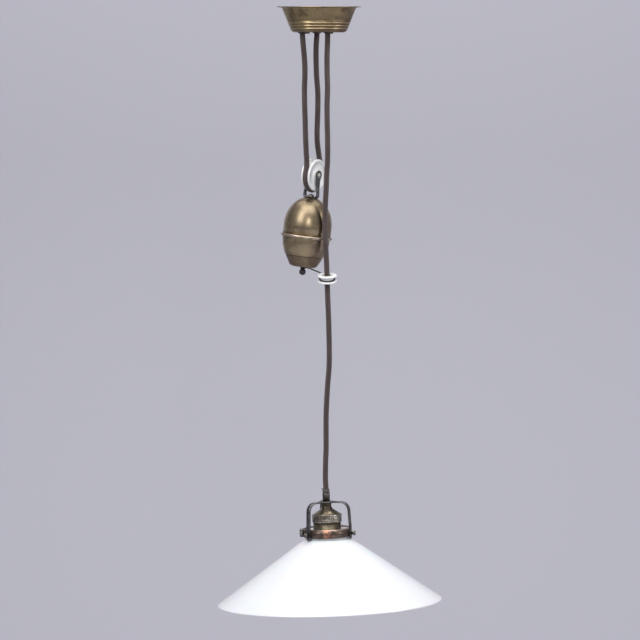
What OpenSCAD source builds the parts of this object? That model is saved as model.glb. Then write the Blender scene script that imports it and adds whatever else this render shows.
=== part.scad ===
// Rise and fall pendant. One cord starts in the ceiling rose, runs down under the counterweight's
// wheel, up over a wheel inside the rose, and down through the counterweight's guide eye to the lamp.
// The counterweight is twice as heavy as the lamp and moves half as far, the other way.
// Millimetres, +Z up. The origin is the middle of the ceiling face, on the axis of the rose.

/* [Ceiling rose] */
// Diameter of the flat lip that meets the ceiling
rose_d = 130; // [120:1:150]
// Depth of the bowl
rose_h = 40; // [40:1:60]
// Thickness of the spun brass
rose_t = 1.2; // [0.8:0.1:1.6]
// Lean of the bowl's side from upright, in degrees
rose_lean = 22.4; // [15:0.1:26]
// Radius of the rounded corner at the bottom of the bowl
rose_corner = 6; // [4:0.5:8]
// Distance between the two ceiling screws
ceiling_pcd = 76; // [70:1:80]
// Width of the flat bar that is screwed to the ceiling
bar_w = 24; // [20:1:28]

/* [Cord and wheels] */
// Diameter of the textile covered cord
cord_d = 8.4; // [6:0.1:9]
// Play of the cord in a groove, bush or eye
cord_play = 0.3; // [0.2:0.05:0.5]
// Flange diameter of the counterweight's porcelain wheel
weight_wheel_d = 50; // [48:1:54]
// Width of the counterweight's porcelain wheel
weight_wheel_w = 15.7; // [15:0.1:17]
// Depth of the groove below the flange of the counterweight's wheel
weight_wheel_groove = 5.9; // [5:0.1:7]
// Flange diameter of the wheel inside the rose
rose_wheel_d = 31; // [29:0.5:32]
// Width of the wheel inside the rose
rose_wheel_w = 13; // [12.5:0.1:14]

/* [Counterweight] */
// Largest diameter of the brass body
weight_d = 74.6; // [70:0.2:80]
// Height of the brass body
weight_h = 108; // [104:1:112]
// Thickness of the pressed brass shells
shell_t = 1.1; // [0.8:0.1:1.4]
// Drop of the wheel's axle below the ceiling
weight_drop = 261; // [258:1:264]
// Lean of the counterweight off plumb, in degrees
weight_lean = 6.5; // [4:0.5:8]
// Diameter of the black ball under the body
ball_d = 10.4; // [8:0.2:14]
// Outside diameter of the porcelain guide eye
eye_d = 30.4; // [28:0.2:34]
// Height of the porcelain guide eye
eye_h = 12.6; // [12:0.2:14]

/* [Lamp head] */
// Drop of the cord grip's mouth below the ceiling
lamp_drop = 753.5; // [750:0.5:757]
// Lean of the lamp off plumb, in degrees
lamp_lean = 2; // [0:0.5:4]
// Diameter of the ribbed collar of the lampholder
collar_d = 46.7; // [45:0.1:50]
// Inside diameter of the screw shell that takes the bulb
socket_d = 26.6; // [26.4:0.1:27]
// Width of the carrier's flat iron arms
arm_w = 8; // [6:0.5:10]
// Thickness of the carrier's flat iron arms
arm_t = 2; // [1.5:0.1:2.5]
// Number of arms on the carrier, with a shade screw through each foot
arms = 3; // [3]
// Outside diameter of the band that holds the shade
band_d = 74; // [74:0.5:76]
// Height of the band
band_h = 13; // [12:0.5:15]

/* [Shade] */
// Diameter of the glass shade at its rim
shade_d = 350; // [300:5:400]
// Height of the glass cone from shoulder to rim
shade_h = 98.4; // [80:0.2:120]
// Thickness of the glass
glass_t = 3.2; // [3:0.1:4]
// Outside diameter of the shade's neck
neck_d = 68; // [66:0.5:69]

/* [Hidden] */
$fn = 72;

// Colours
aged_brass = [0.52, 0.44, 0.27];
old_iron = [0.20, 0.20, 0.21];
steel = [0.55, 0.55, 0.53];
porcelain = [0.93, 0.92, 0.90];
brown_cord = [0.27, 0.22, 0.20];
black = [0.07, 0.07, 0.07];
copper_brown = [0.33, 0.22, 0.18];
opal = [0.96, 0.96, 0.95];

// Places, all in plan [x, y] or [x, y, z]
fixed_hole = [-25.9, -11];
return_hole = [-3, 4.6];
lamp_hole = [13.5, -18];
bar_turn = 50;
weight_at = [-8.5, 7, -weight_drop];
weight_turn = 58.5;
eye_at = [12.6, -27.2, -420.4];
lamp_at = [11, -27.2, -lamp_drop];

// Wheel inside the rose: the cord's two falls set its place, its turn and its pitch circle
rose_pitch = norm(lamp_hole - return_hole) / 2;
rose_wheel_turn = atan2(lamp_hole[1] - return_hole[1], lamp_hole[0] - return_hole[0]);
rose_wheel_drop = 22.3;
rose_wheel_mid = (lamp_hole + return_hole) / 2;
rose_wheel_at = [rose_wheel_mid[0], rose_wheel_mid[1], -rose_wheel_drop];
rose_root = rose_pitch - cord_d / 2 - cord_play;
rose_axle_r = 2.5;

// Counterweight's wheel
weight_root = weight_wheel_d / 2 - weight_wheel_groove;
weight_pitch = weight_root + cord_play + cord_d / 2;
weight_axle_r = 3;
running = 0.05;
bow_gap = 0.6;
bow_t = 2;
bow_in = weight_wheel_w / 2 + bow_gap;
bow_base = 34.5;
body_top = 36.5;

// Lamp head, heights from the band's lower edge
mouth_z = 67.9;
hub_z = 52;
hub_t = arm_t + 0.4;
strap_top = hub_z + hub_t - 0.2;
grip_d = 11.4;
nipple_r = 5;
cap_r = 21.3;
cap_t = 1;
collar_z = 22.2;
collar_h = 12.3;
bend_r = 14;
foot_drop = 4;
screw_z = 5;
screw_r = 2;
first_arm = -20;
ear = 7;
ear_hole = band_d / 2 + 3.1;
band_t = 1.6;
slit = 2.4;
ear_face = slit / 2 + band_t;

function arc(c, r, from, to, steps = 8) =
    [for (i = [0:steps]) let (a = from + (to - from) * i / steps) c + r * [cos(a), sin(a)]];
function reverse(list) = [for (i = [len(list) - 1:-1:0]) list[i]];
function unit(v) = v / norm(v);
function lift(p, z) = [p[0], p[1], z];
function spin(a, v) = [v[0] * cos(a) - v[1] * sin(a), v[0] * sin(a) + v[1] * cos(a), v[2]];
function tilt(a, v) = [v[0] * cos(a) + v[2] * sin(a), v[1], v[2] * cos(a) - v[0] * sin(a)];

// From a part's own frame to the pendant's
function on_weight(v) = weight_at + tilt(weight_lean, v);
function on_lamp(v) = lamp_at + tilt(-lamp_lean, v - [0, 0, mouth_z]);
module in_weight() { translate(weight_at) rotate([0, weight_lean, 0]) children(); }
module in_bow() { in_weight() rotate([0, 0, weight_turn]) children(); }
module in_rose_wheel() { translate(rose_wheel_at) rotate([0, 0, rose_wheel_turn]) children(); }
module in_lamp() {
    translate(lamp_at) rotate([0, -lamp_lean, 0]) translate([0, 0, -mouth_z]) children();
}
module along_bar() { rotate([0, 0, bar_turn]) children(); }
module each_arm() { for (i = [0:arms - 1]) arm_turn(i) children(); }
module arm_turn(i) { rotate([0, 0, first_arm - 120 * i]) children(); }

// Routes of the cord's three runs, top to bottom
route_fixed = concat(
    [[-25.9, -11, -22], [-25.9, -11, -31], [-25.7, -11, -41], [-24.8, -11.2, -55],
     [-23.4, -11.4, -70], [-22.1, -11.6, -88], [-21.8, -11.8, -107], [-22.5, -12, -126],
     [-22.2, -12.2, -150], [-21.4, -12.4, -175], [-20.8, -12.6, -200], [-19.7, -12.9, -226]],
    [for (z = [17, 0]) on_weight(spin(weight_turn, [-weight_pitch, 0, z]))]);
route_return = concat(
    [lift(return_hole, -rose_wheel_drop), lift(return_hole, -32), [-3.1, 4.7, -42],
     [-3.6, 6.4, -60], [-4.3, 8.3, -79], [-4, 10.2, -98], [-3, 12, -116], [-1.9, 14, -136],
     [-1.7, 16.3, -160], [-0.8, 18.8, -185], [1.4, 22, -208], [4.2, 25.4, -230]],
    [for (z = [17, 0]) on_weight(spin(weight_turn, [weight_pitch, 0, z]))]);
route_lamp = concat(
    [lift(lamp_hole, -rose_wheel_drop), lift(lamp_hole, -32), [13.5, -18.1, -42],
     [13.1, -19.2, -58], [12.4, -21.2, -79], [12.6, -24, -103], [13.2, -26.4, -126],
     [12.5, -27.2, -152], [12.7, -27.2, -180], [13.4, -27.2, -208], [13.3, -27.2, -236],
     [12, -27.2, -258], [11.2, -27.2, -280], [9.9, -27.2, -305], [9.2, -27.2, -332],
     [10, -27.2, -362], [11.5, -27.2, -392], [12.6, -27.2, -418], [13.3, -27.2, -444],
     [14.4, -27.2, -470], [15.3, -27.2, -498], [16, -27.2, -530], [15.7, -27.2, -557],
     [13.9, -27.2, -580], [12.3, -27.2, -604], [11.2, -27.2, -630], [11, -27.2, -658],
     [11.1, -27.2, -684], [10.3, -27.2, -706], [10, -27.2, -728], [10.6, -27.2, -743]],
    [on_lamp([0, 0, mouth_z]), on_lamp([0, 0, mouth_z - 8])]);

// A tube of round section, swept along a route
function heading(p, i) = unit(p[min(i + 1, len(p) - 1)] - p[max(i - 1, 0)]);
function ring(at, way, side, r, sides) =
    let (a = unit(cross(way, side)), b = cross(way, a))
    [for (k = [0:sides - 1]) at + r * (cos(360 * k / sides) * a + sin(360 * k / sides) * b)];
module tube(route, d, sides = 10, side = [0, 1, 0]) {
    last = len(route) - 1;
    rings = [for (i = [0:last]) ring(route[i], heading(route, i), side, d / 2, sides)];
    skin = [for (i = [0:last - 1], k = [0:sides - 1])
        let (a = i * sides + k, b = i * sides + (k + 1) % sides)
        each [[a, b, a + sides], [b, b + sides, a + sides]]];
    start = [for (k = [1:sides - 2]) [0, k + 1, k]];
    end = [for (k = [1:sides - 2]) [0, k, k + 1] + last * sides * [1, 1, 1]];
    polyhedron(points = [for (r = rings) each r], faces = concat(skin, start, end));
}

// A grooved porcelain wheel about the Y axis, with rounded rims and a bored hub
module grooved_wheel(d, w, root, bore_r) {
    rim = 1.6;
    throat = cord_d / 2 + cord_play;
    dish = 1.1;
    rotate([90, 0, 0]) rotate_extrude() difference() {
        union() {
            translate([bore_r, -w / 2]) square([d / 2 - rim - bore_r, w]);
            translate([bore_r, -w / 2 + rim]) square([d / 2 - bore_r, w - 2 * rim]);
            for (s = [-1, 1]) translate([d / 2 - rim, s * (w / 2 - rim)]) circle(r = rim);
        }
        translate([root + throat, 0]) circle(r = throat);
        translate([root + throat, -throat]) square([d, 2 * throat]);
        for (s = [-1, 1])
            translate([bore_r + 4.5, s > 0 ? w / 2 - dish : -w / 2 - 1])
                square([d / 2 - bore_r - 8.5, dish + 1]);
    }
}

// A cheese head screw on the Z axis: its head stands on z = 0 and its shank goes down
module screw(head_d, head_h, shank_d, length) {
    difference() {
        cylinder(d = head_d, h = head_h);
        translate([-head_d, -0.5, head_h - 0.9]) cube([2 * head_d, 1, 2]);
    }
    translate([0, 0, -length]) cylinder(d = shank_d, h = length);
}

// ---- Ceiling rose ----
flare_r = 4;
flare_c = [rose_d / 2 - 4.4, -rose_t - flare_r];
corner_z = rose_corner - rose_h;
wall_run = (flare_c[1] + flare_r * sin(rose_lean) - corner_z + rose_corner * sin(rose_lean))
    * tan(rose_lean);
corner_c = [flare_c[0] - (flare_r + rose_corner) * cos(rose_lean) - wall_run, corner_z];
// The bowl's side, t inside its outer surface, with beads rolled into it at some heights
function rose_side(t, beads = []) = concat(
    arc(flare_c, flare_r + t, 90, 180 - rose_lean),
    [for (up = beads) each rose_bead(up)],
    arc(corner_c, rose_corner - t, -rose_lean, -90));
function rose_wall_r(z) = corner_c[0] + rose_corner * cos(rose_lean)
    + (z - corner_z + rose_corner * sin(rose_lean)) * tan(rose_lean);
// A rolled bead on the wall, up above the bottom of the bowl
function rose_bead(up) = arc([rose_wall_r(up - rose_h), up - rose_h], 1.1,
    90 - rose_lean, -90 - rose_lean, 6);
bush_r = 5.6;
rose_screw_at = 28.5;

module ceiling_rose() {
    color(aged_brass) difference() {
        rotate_extrude($fn = 120) polygon(concat(
            [[rose_d / 2, 0], [rose_d / 2, -rose_t]], rose_side(0, [14.8, 10.4, 6]),
            [[0, -rose_h], [0, rose_t - rose_h]], reverse(rose_side(rose_t))));
        for (hole = [fixed_hole, return_hole, lamp_hole])
            translate(lift(hole, -rose_h - 1)) cylinder(r = bush_r, h = 4);
        along_bar() for (s = [-1, 1])
            translate([s * rose_screw_at, 0, -rose_h - 1]) cylinder(r = 2.2, h = 4);
    }
}

module cord_bushes() {
    lip = 1.4;
    color(black) for (hole = [fixed_hole, return_hole, lamp_hole])
        translate(lift(hole, -rose_h)) rotate_extrude() difference() {
            union() {
                translate([0, -lip]) square([bush_r, 2 * lip + rose_t]);
                translate([0, -lip]) square([bush_r + 1, lip]);
                translate([0, rose_t]) square([bush_r + 1, lip]);
            }
            translate([-1, -lip - 1]) square([1 + cord_d / 2 + cord_play, 4 * lip + rose_t]);
        }
}

// Flat bar with its ends turned down and in, to hold the bowl against the ceiling
bar_t = 2;
leg_w = 11;
leg_x = 33;
foot_top = rose_h - rose_t - bar_t;
module ceiling_bar() {
    end_x = 47;
    color(steel) along_bar() difference() {
        union() {
            translate([0, 0, -bar_t]) linear_extrude(bar_t) {
                square([2 * (end_x - bar_w / 2), bar_w], center = true);
                for (s = [-1, 1]) translate([s * (end_x - bar_w / 2), 0]) circle(d = bar_w);
            }
            for (s = [-1, 1]) rotate([0, 0, s > 0 ? 0 : 180]) {
                translate([leg_x - bar_t, -leg_w / 2, -foot_top - bar_t])
                    cube([bar_t, leg_w, foot_top + bar_t]);
                translate([leg_x - leg_w + 1, -leg_w / 2, -foot_top - bar_t])
                    cube([leg_w - 1, leg_w, bar_t]);
            }
        }
        for (s = [-1, 1]) {
            translate([s * ceiling_pcd / 2, 0, -bar_t - 1]) cylinder(r = 2.5, h = bar_t + 2);
            translate([s * rose_screw_at, 0, -foot_top - bar_t - 1]) cylinder(r = 1.8, h = bar_t + 2);
        }
    }
}

module wheel_bracket() {
    cheek_t = 1.6;
    inside = rose_wheel_w / 2 + 0.5;
    cheek_w = 12;
    top = rose_wheel_drop - bar_t;
    color(steel) in_rose_wheel() difference() {
        union() {
            translate([-cheek_w / 2, -inside - cheek_t, top - cheek_t])
                cube([cheek_w, 2 * (inside + cheek_t), cheek_t]);
            for (s = [-1, 1]) translate([0, s * (inside + cheek_t / 2), 0]) rotate([90, 0, 0])
                linear_extrude(cheek_t, center = true) {
                    circle(d = cheek_w);
                    translate([-cheek_w / 2, 0]) square([cheek_w, top]);
                }
        }
        rotate([90, 0, 0]) cylinder(r = rose_axle_r, h = 40, center = true);
    }
}

module rose_wheel_axle() {
    half = rose_wheel_w / 2 + 2.1;
    color(steel) in_rose_wheel() rotate([90, 0, 0]) {
        cylinder(r = rose_axle_r, h = 2 * half, center = true);
        for (s = [-1, 1]) translate([0, 0, s * (half + 0.6)])
            cylinder(r = rose_axle_r + 1.3, h = 1.2, center = true);
    }
}

module rose_wheel() {
    color(porcelain) in_rose_wheel()
        grooved_wheel(rose_wheel_d, rose_wheel_w, rose_root, rose_axle_r + running);
}

module rose_screws() {
    color(aged_brass) along_bar() for (s = [-1, 1]) translate([s * rose_screw_at, 0, -rose_h]) {
        rotate([180, 0, 0]) screw(8, 2.2, 3.6, rose_t + bar_t + 3);
    }
}

// Collar clamped on the cord above its bush, so that the cord can't be drawn out
stop_h = 7;
stop_z = rose_t + 1.4 - rose_h;
module cord_stop() {
    color(aged_brass) translate(lift(fixed_hole, stop_z)) difference() {
        cylinder(r = 7, h = stop_h);
        translate([0, 0, -1]) cylinder(r = cord_d / 2 + cord_play, h = stop_h + 2);
        translate([0, 0, stop_h / 2]) rotate([0, -90, 0]) cylinder(r = 1.6, h = 20);
    }
}
module stop_screw() {
    color(steel) translate(lift(fixed_hole, stop_z + stop_h / 2))
        rotate([0, -90, 0]) translate([0, 0, cord_d / 2 + 0.05]) difference() {
            cylinder(r = 1.6, h = 5);
            translate([-2, -0.3, 4.2]) cube([4, 0.6, 2]);
        }
}

// Porcelain connector under the bar, beside the wheel
block = [16, 13, 12];
block_at = [-21.5, -3, -bar_t - block[2]];
port_x = 4;
port_z = 5;
lead_d = 2.6;
module terminal_block() {
    color(porcelain) along_bar() translate(block_at) difference() {
        translate([-block[0] / 2, -block[1] / 2, 0]) cube(block);
        for (x = [-port_x, port_x]) {
            translate([x, 0, port_z]) rotate([90, 0, 0]) cylinder(r = 2.2, h = 40, center = true);
            translate([x, 0, -1]) cylinder(r = 2.4, h = port_z);
        }
    }
}
module terminal_screws() {
    head_h = 1;
    color(aged_brass) along_bar() translate(block_at) for (x = [-port_x, port_x])
        translate([x, 0, head_h]) rotate([180, 0, 0])
            screw(4.4, head_h, 2.4, port_z - head_h - lead_d / 2);
}
module rose_leads() {
    top = spin(-bar_turn, route_fixed[0]);
    color(black) along_bar() for (s = [-1, 1])
        let (port = block_at + [port_x * s, block[1] / 2, port_z])
        tube([top + [1.6 * s, 0, 0.05], top + [1.6 * s, 0, 4], top + [0.8 + 2.6 * s, 0, 9],
              top + [3 + 3.4 * s, -1.8, 13], port + [0, 4, 0.4], port, port - [0, 4, 0]],
             lead_d, 8, [1, 0, 0]);
}

// ---- Cord ----
module cord_fixed_run() { color(brown_cord) tube(route_fixed, cord_d); }
module cord_return_run() { color(brown_cord) tube(route_return, cord_d); }
module cord_lamp_run() { color(brown_cord) tube(route_lamp, cord_d); }
module cord_weight_loop() {
    color(brown_cord) in_bow() rotate([-90, 0, 0])
        rotate_extrude(angle = 180) translate([weight_pitch, 0]) circle(d = cord_d);
}
module cord_rose_loop() {
    color(brown_cord) in_rose_wheel() rotate([90, 0, 0])
        rotate_extrude(angle = 180) translate([rose_pitch, 0]) circle(d = cord_d);
}

// ---- Counterweight, in its own frame: the axle is at the origin and the body hangs below ----
belt_at = 59.8;
upper_mid = 43.2;
lower_mid = 57;
step_at = 88;
cup_at = 97.5;
// Radius of the body at a depth h below its top, t inside its outer surface
function upper_r(h, t) = (weight_d / 2 - t)
    * sqrt(max(0, 1 - pow(max(0, upper_mid - h) / (upper_mid + 2.4 - t), 2)));
function lower_r(h, t) = (weight_d / 2 - 0.3 - t - (h > step_at ? 0.7 : 0))
    * sqrt(max(0, 1 - pow(max(0, h - lower_mid) / (weight_h - lower_mid - t), 2)));
function upper_side(t, from) = concat(
    [for (i = [0:12]) let (h = from + (upper_mid - from) * sin(90 * i / 12))
        [upper_r(h, t), -body_top - h]],
    [[weight_d / 2 - t, -body_top - belt_at + 0.05]]);
function lower_side(t) = concat(
    [[weight_d / 2 - 0.3 - t, -body_top - belt_at - 0.05]],
    [for (i = [0:7]) let (h = lower_mid + 4 + (step_at - lower_mid - 4) * i / 7)
        [lower_r(h, t), -body_top - h]],
    [for (i = [0:3]) let (h = step_at + 0.5 + (cup_at - step_at - 0.5) * i / 3)
        [lower_r(h, t), -body_top - h]],
    arc([15.2 - t, -body_top - weight_h + 7.5], 7, 20, -90, 6));
rod_r = 2.5;

module weight_upper_shell() {
    color(aged_brass) in_weight() rotate_extrude($fn = 120) polygon(concat(
        [[rod_r, -body_top]], upper_side(0, 0.01), reverse(upper_side(shell_t, shell_t)),
        [[rod_r, -body_top - shell_t]]));
}
module weight_lower_shell() {
    bottom = -body_top - weight_h + 0.5;
    color(aged_brass) in_weight() rotate_extrude($fn = 120) polygon(concat(
        lower_side(0), [[rod_r, bottom], [rod_r, bottom + shell_t]],
        [for (p = reverse(lower_side(shell_t))) [p[0], max(p[1], bottom + shell_t)]]));
}
module weight_band() {
    color(aged_brass) in_weight() translate([0, 0, -body_top - belt_at]) rotate_extrude($fn = 120)
        intersection() {
            translate([weight_d / 2 + 0.3, 0]) circle(r = 2.3, $fn = 32);
            translate([weight_d / 2 + 0.05, -4]) square(8);
        }
}
module weight_core() {
    gap = shell_t + 0.4;
    floor_z = -body_top - weight_h + 0.5 + shell_t;
    color(old_iron) in_weight() rotate_extrude($fn = 96) polygon(concat(
        [[rod_r, -body_top - 7]], upper_side(gap, 7),
        [for (p = lower_side(gap)) [p[0], max(p[1], floor_z)]], [[rod_r, floor_z]]));
}
module weight_rod() {
    color(steel) in_weight() translate([0, 0, -body_top - weight_h - 6])
        cylinder(r = rod_r, h = weight_h + 6 + body_top - bow_base + 4.4);
}
module rod_nut() {
    color(steel) in_weight() translate([0, 0, -bow_base]) difference() {
        cylinder(r = 4.6, h = 3.4, $fn = 6);
        translate([0, 0, -1]) cylinder(r = rod_r, h = 6);
    }
}
module weight_ball() {
    neck = 2.2;
    color(black) in_weight() translate([0, 0, -body_top - weight_h - 1.6]) difference() {
        union() {
            translate([0, 0, -neck - ball_d / 2 + 1.6]) sphere(d = ball_d, $fn = 64);
            translate([0, 0, -neck]) cylinder(r = 3.4, h = neck);
        }
        translate([0, 0, -4.4]) cylinder(r = rod_r, h = 10);
    }
}
// Strap bent to a U: its two legs taper down from the axle's eyes to the base on the body
module stirrup() {
    out = bow_in + bow_t;
    splay = 2.4;
    eye_r = 7.4;
    color(old_iron) in_bow() difference() {
        intersection() {
            rotate([90, 0, 90]) linear_extrude(40, center = true) difference() {
                bow_outline(out, splay, eye_r + 1, bow_base + bow_t);
                bow_outline(out - bow_t, splay, eye_r + 2, bow_base);
            }
            rotate([90, 0, 0]) linear_extrude(60, center = true) {
                circle(r = eye_r);
                polygon([[5, 0], [-5, 0], [-3.4, -20], [-3.4, -bow_base - 3],
                         [3.4, -bow_base - 3], [3.4, -20]]);
            }
        }
        rotate([90, 0, 0]) cylinder(r = weight_axle_r, h = 60, center = true);
        translate([0, 0, -bow_base - 6]) cylinder(r = rod_r, h = 10);
    }
}
module bow_outline(half, splay, top, base) {
    round = 5;
    polygon(concat(
        [[half, top], [half, -9]],
        arc([half + splay - round, round - base], round, 0, -90, 6),
        arc([round - half - splay, round - base], round, -90, -180, 6),
        [[-half, -9], [-half, top]]));
}
module weight_wheel_axle() {
    half = bow_in + bow_t;
    color(steel) in_bow() rotate([90, 0, 0]) {
        cylinder(r = weight_axle_r, h = 2 * half, center = true);
        for (s = [-1, 1]) translate([0, 0, s * half]) rotate([s > 0 ? 0 : 180, 0, 0])
            cylinder(r1 = weight_axle_r + 1.6, r2 = weight_axle_r + 0.4, h = 1.6);
    }
}
module weight_wheel() {
    color(porcelain) in_bow()
        grooved_wheel(weight_wheel_d, weight_wheel_w, weight_root, weight_axle_r + running);
}

// ---- Guide eye and the wire that ties it to the counterweight ----
eye_groove = 10.8;
eye_bore = 7.4;
wire_d = 2;
module guide_eye() {
    lip = 2.2;
    half = eye_h / 2;
    color(porcelain) translate(eye_at) rotate_extrude() difference() {
        union() {
            translate([eye_bore, -half + lip / 2]) square([eye_groove - eye_bore, eye_h - lip]);
            for (s = [-1, 1]) translate([0, s * (half - lip / 2)]) {
                translate([eye_bore + lip / 2, -lip / 2]) square([eye_d / 2 - eye_bore - lip, lip]);
                translate([eye_d / 2 - lip / 2, 0]) circle(d = lip, $fn = 24);
                translate([eye_bore + lip / 2, 0]) circle(d = lip, $fn = 24);
            }
        }
    }
}
module guide_wire() {
    rod_end = on_weight([0, 0, -body_top - weight_h - 0.55]);
    away = eye_at - rod_end;
    bearing = atan2(away[1], away[0]);
    rod_turn = [for (i = [0:9]) let (a = bearing + 90 + 30 * (i - 9))
        rod_end + tilt(weight_lean, (rod_r + wire_d / 2 + 0.1) * [cos(a), sin(a), 0])];
    groove_r = eye_groove + wire_d / 2 + 0.15;
    dip = 2.6;
    eye_turn = [for (i = [0:21]) let (a = bearing + 90 + 16 * i)
        eye_at + [groove_r * cos(a), groove_r * sin(a), dip * sin(a)]];
    outside = [for (back = [16, 10]) eye_turn[0] - back * [cos(bearing), sin(bearing), -0.06]];
    color(old_iron) tube(concat(rod_turn, outside, eye_turn), wire_d, 8, [0, 0, 1]);
}

// ---- Lamp head, in its own frame: the band's lower edge is at z = 0 on the lamp's axis ----
module cord_binding() {
    turns = 3.5;
    wire = 1.4;
    steps = 12;
    rise = 1.5;
    r = cord_d / 2 + wire / 2 + 0.15;
    color(black) in_lamp() translate([0, 0, mouth_z + wire / 2]) tube(concat(
        [for (i = [0:turns * steps]) let (a = 360 * i / steps)
            [r * cos(a), r * sin(a), rise * i / steps]],
        [[-r - 0.6, -2, rise * turns + 0.4], [-r - 1.6, -3.6, rise * turns + 1]]),
        wire, 6, [0, 0, 1]);
}
module cord_grip() {
    split = hub_z + hub_t + 5;
    color(old_iron) in_lamp() difference() {
        union() {
            translate([0, 0, hub_z + hub_t]) cylinder(d = grip_d, h = mouth_z - hub_z - hub_t - 0.6);
            translate([0, 0, mouth_z - 0.6]) cylinder(d1 = grip_d, d2 = grip_d - 1.2, h = 0.6);
        }
        translate([0, 0, hub_z]) cylinder(r = nipple_r, h = split - hub_z);
        translate([0, 0, hub_z]) cylinder(r = cord_d / 2 + cord_play, h = mouth_z);
    }
}
module nipple() {
    color(steel) in_lamp() translate([0, 0, hub_z - 9]) difference() {
        cylinder(r = nipple_r, h = 15.5);
        translate([0, 0, -1]) cylinder(r = 3.4, h = 20);
    }
}
module nipple_nut() {
    color(steel) in_lamp() translate([0, 0, hub_z - cap_t - 3.2]) difference() {
        cylinder(r = 8, h = 3.2, $fn = 6);
        translate([0, 0, -1]) cylinder(r = nipple_r, h = 6);
    }
}
cap_neck = 11.3;
dome_c = [9.5, 32];
dome_r = 11.6;
function cap_side(t) = concat(
    [[cap_neck - t, hub_z - t]],
    arc(dome_c, dome_r - t, 81, 17),
    [[cap_r - t, collar_z + 11], [cap_r - t, collar_z + 6.6]]);
module holder_cap() {
    color(aged_brass) in_lamp() difference() {
        rotate_extrude() polygon(concat(
            [[nipple_r + 0.1, hub_z]], cap_side(0), reverse(cap_side(cap_t)),
            [[nipple_r + 0.1, hub_z - cap_t]]));
        translate([0, 0, 46.8]) rotate([90, 0, 0]) cylinder(r = 1.5, h = 20);
    }
}
module cap_grub_screw() {
    color(steel) in_lamp() translate([0, -cap_neck + cap_t + 1.6, 46.8]) rotate([90, 0, 0])
        difference() {
            cylinder(r = 1.5, h = 3.2);
            translate([-2, -0.3, 2.5]) cube([4, 0.6, 2]);
        }
}
module holder_collar() {
    rib = 1.15;
    in_r = cap_r + 0.1;
    color(aged_brass) in_lamp() translate([0, 0, collar_z]) rotate_extrude() difference() {
        union() {
            translate([in_r, 0]) square([collar_d / 2 - in_r - 0.7, collar_h]);
            for (i = [0:3]) translate([collar_d / 2 - rib, rib + i * (collar_h - 2 * rib) / 3])
                circle(r = rib, $fn = 24);
        }
        translate([0, -1]) square([in_r, collar_h + 2]);
    }
}
module holder_shell() {
    wall = 0.9;
    bottom = -10;
    roll = 1.1;
    color(aged_brass) in_lamp() rotate_extrude() {
        translate([cap_r - wall, bottom]) square([wall, collar_z + 6.4 - bottom]);
        translate([cap_r - wall / 2, bottom]) circle(r = roll, $fn = 24);
    }
}
socket_r = socket_d / 2;
socket_low = -7;
socket_top = 18.5;
module holder_insert() {
    color(porcelain) in_lamp() difference() {
        union() {
            translate([0, 0, 21]) cylinder(r = 19.6, h = 9);
            translate([0, 0, -8]) cylinder(r = 18, h = 30);
        }
        translate([0, 0, -9]) cylinder(r = socket_r + 0.8, h = 9 + socket_top);
        cylinder(r = 1.8, h = 40);
        for (s = [-1, 1]) translate([11 * s, 0, 27]) cube([9.2, 7.2, 10], center = true);
    }
}
module screw_shell() {
    color(aged_brass) in_lamp() difference() {
        translate([0, 0, socket_low]) cylinder(r = socket_r + 0.8, h = socket_top - socket_low);
        translate([0, 0, socket_low - 1]) cylinder(r = socket_r, h = socket_top - socket_low);
        translate([0, 0, socket_top - 2]) cylinder(r = 8, h = 4);
    }
}
module centre_contact() {
    color(aged_brass) in_lamp() {
        translate([0, 0, socket_top - 0.9]) cylinder(r1 = 3, r2 = 4.6, h = 0.9);
        translate([0, 0, socket_top - 0.1]) cylinder(r = 1.8, h = 30.1 - socket_top);
        translate([0, 0, 30]) cylinder(r = 3.4, h = 1);
    }
}
module holder_terminals() {
    color(aged_brass) in_lamp() for (s = [-1, 1]) translate([11 * s, 0, 22.1]) difference() {
        translate([-4, -3, 0]) cube([8, 6, 12]);
        translate([0, 0, 9.3]) rotate([90, 0, 0]) cylinder(r = 1.5, h = 20, center = true);
    }
}
module holder_leads() {
    color(black) for (s = [-1, 1])
        tube([for (p = [[1.7 * s, 0, mouth_z - 8.1], [1.7 * s, 0, 54], [1.7 * s, 0, 42],
                        [3.4 * s, 3, 38.6], [8.4 * s, 7, 35], [11 * s, 6.6, 31.6],
                        [11 * s, 3.05, 31.4]])
              on_lamp(p)], 2.4, 8, [0.2, 0.3, 1]);
}

arm_out = band_d / 2;
// An arm's profile, t inside its outer surface: out from the hub, round the bend and down
function strap(t) = let (elbow = arm_out + arm_t - 1.3 - bend_r) concat(
    [[9, strap_top - t]],
    arc([elbow, strap_top - bend_r], bend_r - t, 90, 0, 12),
    [[arm_out + arm_t - t, 16], [arm_out + arm_t - t, -foot_drop]]);
module shade_carrier() {
    color(old_iron) in_lamp() difference() {
        union() {
            translate([0, 0, hub_z]) cylinder(r = 12, h = hub_t);
            each_arm() intersection() {
                rotate([90, 0, 0]) linear_extrude(arm_w + 2, center = true)
                    polygon(concat(strap(arm_t), reverse(strap(0))));
                rotate([90, 0, 90]) linear_extrude(60) {
                    translate([-arm_w / 2, arm_w / 2 - foot_drop]) square([arm_w, 70]);
                    translate([0, arm_w / 2 - foot_drop]) circle(d = arm_w);
                }
            }
        }
        translate([0, 0, hub_z - 1]) cylinder(r = nipple_r + 0.1, h = 4);
        each_arm() translate([20, 0, screw_z]) rotate([0, 90, 0]) cylinder(r = screw_r + running, h = 30);
    }
}
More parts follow.
